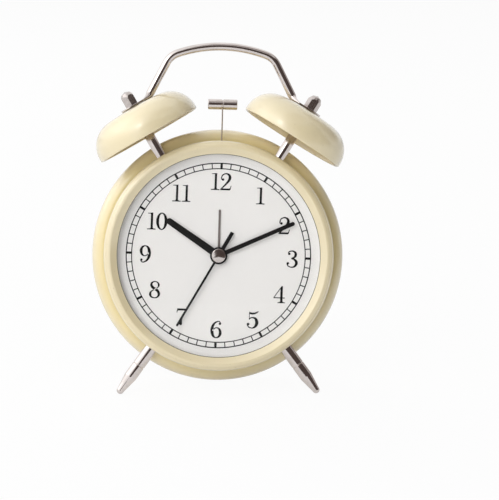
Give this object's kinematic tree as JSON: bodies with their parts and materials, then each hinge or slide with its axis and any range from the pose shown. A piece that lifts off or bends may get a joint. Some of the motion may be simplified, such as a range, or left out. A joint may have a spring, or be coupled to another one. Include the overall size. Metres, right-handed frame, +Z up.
{
  "type": "twin bell alarm clock",
  "caption": "Round cream alarm clock with twin bells, hammer and carrying handle, leaning back on turned legs and its rear rim.",
  "frame": {"origin": "centre of the bounding box in plan, on the surface the clock stands on", "axes": "+X to the right as the dial is read, +Y from the dial to the rear, +Z up; the clock leans back about X"},
  "size_m": [0.1202, 0.0634, 0.1637],
  "materials": {
    "case_paint": "cream gloss enamel",
    "bezel_paint": "cream gloss enamel",
    "bell_paint": "cream gloss enamel",
    "bright_metal": "polished chrome plate",
    "steel": "plain steel",
    "lens": "clear flat glass",
    "gasket_rubber": "matt",
    "spacer_plastic": "satin",
    "dial_print": "matt white with black print",
    "hand_black": "satin black",
    "hand_grey": "satin grey",
    "housing_plastic": "moulded",
    "wheel_plastic": "natural nylon",
    "wheel_brass": "turned",
    "copper_wire": "enamelled winding",
    "board": "laminate",
    "can_metal": "drawn can",
    "cover_plastic": "fine spark texture",
    "knob_plastic": "satin",
    "cell_wrap": "plain printed sleeve, no text"
  },
  "bodies": {
    "clock_case": {"case_drum": "case_paint", "front_bezel": "bezel_paint", "glass_gasket": "gasket_rubber", "glass_lens": "lens", "dial_spacer": "spacer_plastic", "dial_plate": "dial_print", "left_bell": "bell_paint", "right_bell": "bell_paint", "left_post": "bright_metal", "right_post": "bright_metal", "cap_nuts": "bright_metal", "post_nuts": "steel", "leg_nuts": "steel", "handle": "bright_metal", "left_leg": "bright_metal", "right_leg": "bright_metal", "movement_front": "housing_plastic", "movement_rear": "housing_plastic", "stator": "steel", "coil": "copper_wire", "circuit_board": "board", "quartz_crystal": "can_metal", "bell_motor": "can_metal", "hammer_pin": "steel", "rear_cover": "cover_plastic", "battery_cell": "cell_wrap", "plus_contact": "steel", "minus_contact": "steel", "switch_base": "housing_plastic", "cover_screws": "steel"},
    "seconds": {"second_wheel": "wheel_plastic", "second_hand": "hand_black", "hand_cap": "bright_metal"},
    "minutes": {"minute_pinion": "wheel_brass", "minute_hand": "hand_black"},
    "hours": {"hour_wheel": "wheel_plastic", "hour_hand": "hand_black"},
    "alarm_indicator": {"alarm_wheel": "wheel_plastic", "alarm_hand": "hand_grey"},
    "centre": {"centre_wheel": "wheel_plastic"},
    "third": {"third_wheel": "wheel_plastic"},
    "rotor_group": {"rotor": "wheel_plastic"},
    "time_set": {"time_set_shaft": "wheel_plastic", "time_knob": "knob_plastic"},
    "alarm_set": {"alarm_set_shaft": "wheel_plastic", "alarm_knob": "knob_plastic"},
    "hammer": {"hammer_lever": "steel", "hammer_wire": "steel", "hammer_head": "bright_metal"},
    "cam": {"hammer_cam": "wheel_plastic"},
    "switch": {"alarm_switch": "knob_plastic"},
    "battery_door": {"battery_cover": "cover_plastic"}
  },
  "joints": [
    {"name": "second_turn", "type": "hinge", "parent": "clock_case", "child": "seconds", "pos_m": [0, -0.00994, 0.0646], "axis": [0, 0.979, -0.2038], "continuous": true},
    {"name": "third_turn", "type": "hinge", "parent": "clock_case", "child": "third", "pos_m": [-0.00038, -0.01214, 0.05403], "axis": [0, 0.979, -0.2038], "continuous": true},
    {"name": "centre_turn", "type": "hinge", "parent": "clock_case", "child": "centre", "pos_m": [0, -0.00994, 0.0646], "axis": [0, 0.979, -0.2038], "continuous": true},
    {"name": "rotor_turn", "type": "hinge", "parent": "clock_case", "child": "rotor_group", "pos_m": [0.00563, -0.01117, 0.05869], "axis": [0, 0.979, -0.2038], "continuous": true},
    {"name": "time_set_turn", "type": "hinge", "parent": "clock_case", "child": "time_set", "pos_m": [-0.01199, -0.00985, 0.06501], "axis": [0, 0.979, -0.2038], "continuous": true},
    {"name": "minute_turn", "type": "hinge", "parent": "clock_case", "child": "minutes", "pos_m": [0, -0.00994, 0.0646], "axis": [0, 0.979, -0.2038], "continuous": true},
    {"name": "hour_turn", "type": "hinge", "parent": "clock_case", "child": "hours", "pos_m": [0, -0.00994, 0.0646], "axis": [0, 0.979, -0.2038], "continuous": true},
    {"name": "alarm_set_turn", "type": "hinge", "parent": "clock_case", "child": "alarm_set", "pos_m": [0.01199, -0.01002, 0.06419], "axis": [0, 0.979, -0.2038], "continuous": true},
    {"name": "alarm_turn", "type": "hinge", "parent": "clock_case", "child": "alarm_indicator", "pos_m": [0, -0.00994, 0.0646], "axis": [0, 0.979, -0.2038], "continuous": true},
    {"name": "hammer_swing", "type": "hinge", "parent": "clock_case", "child": "hammer", "pos_m": [0.00094, -0.00444, 0.09101], "axis": [0, 0.979, -0.2038], "range_deg": [-6.6, 4.7]},
    {"name": "cam_turn", "type": "hinge", "parent": "clock_case", "child": "cam", "pos_m": [0.00066, -0.00607, 0.08319], "axis": [0, 0.979, -0.2038], "continuous": true},
    {"name": "alarm_switch_slide", "type": "slide", "parent": "clock_case", "child": "switch", "axis": [1, 0, 0], "range_m": [0, 0.005]},
    {"name": "battery_door_hinge", "type": "hinge", "parent": "clock_case", "child": "battery_door", "pos_m": [0, 0.00636, 0.01407], "axis": [-1, 0, 0], "range_deg": [0, 75]}
  ],
  "couplings": [
    {"joint": "third_turn", "follows": "second_turn", "ratio": -0.13333},
    {"joint": "centre_turn", "follows": "second_turn", "ratio": 0.016667},
    {"joint": "rotor_turn", "follows": "second_turn", "ratio": -10},
    {"joint": "minute_turn", "follows": "time_set_turn", "ratio": -3},
    {"joint": "hour_turn", "follows": "time_set_turn", "ratio": -0.25},
    {"joint": "alarm_turn", "follows": "alarm_set_turn", "ratio": -0.25}
  ]
}
